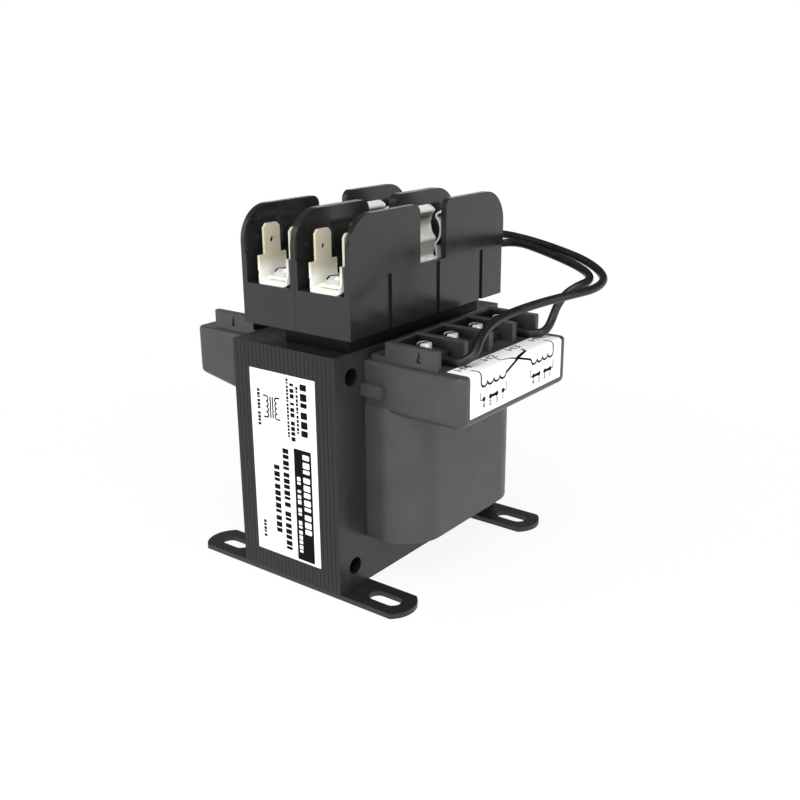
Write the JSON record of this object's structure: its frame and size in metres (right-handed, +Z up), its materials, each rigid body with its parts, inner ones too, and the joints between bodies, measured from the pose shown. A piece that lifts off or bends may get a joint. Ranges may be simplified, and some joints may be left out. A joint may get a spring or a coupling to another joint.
{
  "type": "laminated chassis transformer",
  "caption": "Control transformer with a laminated steel core on slotted mounting straps, an enclosed coil with screw terminal shelves, and a two-pole fuse block on top.",
  "frame": {"origin": "centre of the four mounting slots, on the mounting plane under the straps", "axes": "+Z up away from the mounting plane, +X towards the primary terminals, -Y towards the labelled edge of the core"},
  "size_m": [0.1082, 0.0928, 0.1084],
  "materials": {
    "core_steel": "varnished silicon steel sheets, cut edges in fine lines",
    "strap_steel": "black varnished steel, satin",
    "cover_plastic": "moulded grey plastic, fine satin grain",
    "block_plastic": "moulded dark grey plastic, satin",
    "bobbin_plastic": "moulded black plastic",
    "winding_copper": "enamelled copper wire, laid in even turns",
    "insulation_film": "wound insulation film",
    "clamp_plate": "zinc plated steel, satin",
    "terminal_screw": "zinc plated steel, bright",
    "spacer_plastic": "black fibre strip, matt",
    "fuse_plastic": "moulded dark grey phenolic, satin",
    "terminal_plate": "tin plated copper alloy, bright satin",
    "clip_plate": "nickel plated spring copper alloy, bright",
    "block_screw": "black oxide steel",
    "ring_terminal": "tin plated copper, satin",
    "lead_insulation": "black vinyl insulation, soft sheen",
    "label_film": "white self-adhesive film, smooth"
  },
  "bodies": {
    "root": {"e_laminations": "core_steel", "i_laminations": "core_steel", "front_mounting_strap": "strap_steel", "rear_mounting_strap": "strap_steel", "coil_cover": "cover_plastic", "primary_terminal_block": "block_plastic", "secondary_terminal_block": "block_plastic", "winding_bobbin": "bobbin_plastic", "primary_winding": "winding_copper", "secondary_winding": "winding_copper", "winding_insulation": "insulation_film", "primary_clamp_1": "clamp_plate", "primary_clamp_2": "clamp_plate", "primary_clamp_3": "clamp_plate", "primary_clamp_4": "clamp_plate", "secondary_clamp_1": "clamp_plate", "secondary_clamp_2": "clamp_plate", "primary_terminal_screws": "terminal_screw", "secondary_terminal_screws": "terminal_screw", "fuse_block_spacer": "spacer_plastic", "fuse_pole_left": "fuse_plastic", "fuse_pole_right": "fuse_plastic", "fuse_terminal_left_front": "terminal_plate", "fuse_terminal_left_rear": "terminal_plate", "fuse_terminal_right_front": "terminal_plate", "fuse_terminal_right_rear": "terminal_plate", "fuse_clip_left_front": "clip_plate", "fuse_clip_left_rear": "clip_plate", "fuse_clip_right_front": "clip_plate", "fuse_clip_right_rear": "clip_plate", "fuse_clip_rivets": "clamp_plate", "fuse_pressure_plates": "clamp_plate", "fuse_terminal_screws": "terminal_screw", "fuse_block_screws": "block_screw", "ring_terminal_h4": "ring_terminal", "ring_terminal_h1": "ring_terminal", "lead_h4": "lead_insulation", "lead_h1": "lead_insulation", "front_label": "label_film", "primary_label": "label_film"}
  },
  "joints": []
}
